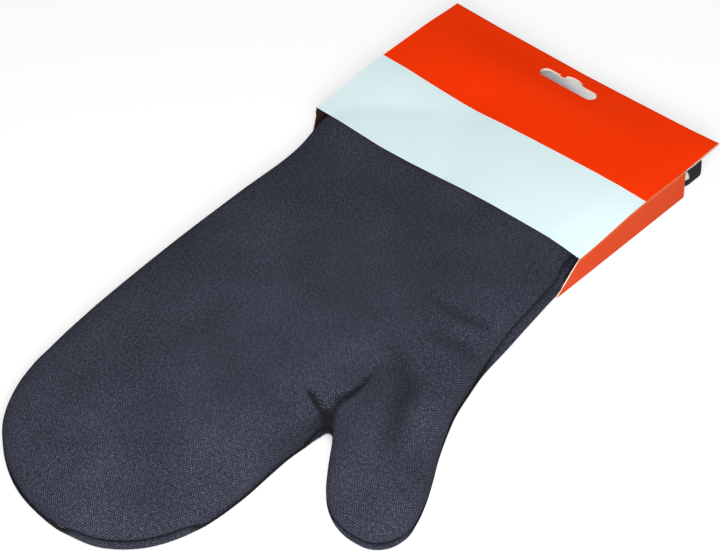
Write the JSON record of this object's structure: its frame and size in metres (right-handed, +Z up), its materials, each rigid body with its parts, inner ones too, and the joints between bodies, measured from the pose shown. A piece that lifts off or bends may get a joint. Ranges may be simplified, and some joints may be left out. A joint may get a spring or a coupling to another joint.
{
  "type": "oven mitt",
  "caption": "Padded fabric oven mitt with lined finger and thumb pockets and a hanging loop, lying palm up with its cuff in a slide-off folded card sleeve.",
  "frame": {"origin": "on the table under the middle of the palm, on the flat underside of the mitt's back panel", "axes": "+X towards the thumb, +Y towards the cuff, +Z up from the table; the palm side faces up"},
  "size_m": [0.1945, 0.3485, 0.0195],
  "materials": {
    "canvas": "plain-woven slate grey cotton canvas",
    "wadding": "needled cotton felt",
    "lining": "plain pale cotton",
    "tape": "dark woven cotton tape",
    "card": "coated orange and pale blue-white card"
  },
  "bodies": {
    "hand": {"hand_palm_canvas": "canvas", "hand_back_canvas": "canvas", "hand_palm_wadding": "wadding", "hand_back_wadding": "wadding", "hand_palm_lining": "lining", "hand_back_lining": "lining", "cuff_rim": "lining"},
    "fingers": {"fingers_palm_canvas": "canvas", "fingers_back_canvas": "canvas", "fingers_palm_wadding": "wadding", "fingers_back_wadding": "wadding", "fingers_palm_lining": "lining", "fingers_back_lining": "lining"},
    "thumb": {"thumb_palm_canvas": "canvas", "thumb_back_canvas": "canvas", "thumb_palm_wadding": "wadding", "thumb_back_wadding": "wadding", "thumb_palm_lining": "lining", "thumb_back_lining": "lining"},
    "loop": {"hanging_loop": "tape"},
    "sleeve": {"card_sleeve": "card"}
  },
  "joints": [
    {"name": "finger_flex", "type": "hinge", "parent": "hand", "child": "fingers", "pos_m": [0, -0.052, 0.0195], "axis": [-1, 0, 0], "range_deg": [0, 60]},
    {"name": "thumb_flex", "type": "hinge", "parent": "hand", "child": "thumb", "pos_m": [0.0625, -0.044, 0.0195], "axis": [-0.2482, -0.9687, 0], "range_deg": [0, 45]},
    {"name": "loop_swing", "type": "hinge", "parent": "hand", "child": "loop", "pos_m": [0.0734, 0.176, 0.006], "axis": [0, 0, -1], "range_deg": [0, 90]},
    {"name": "sleeve_slide", "type": "slide", "parent": "hand", "child": "sleeve", "axis": [0, 1, 0], "range_m": [0, 0.14]}
  ]
}
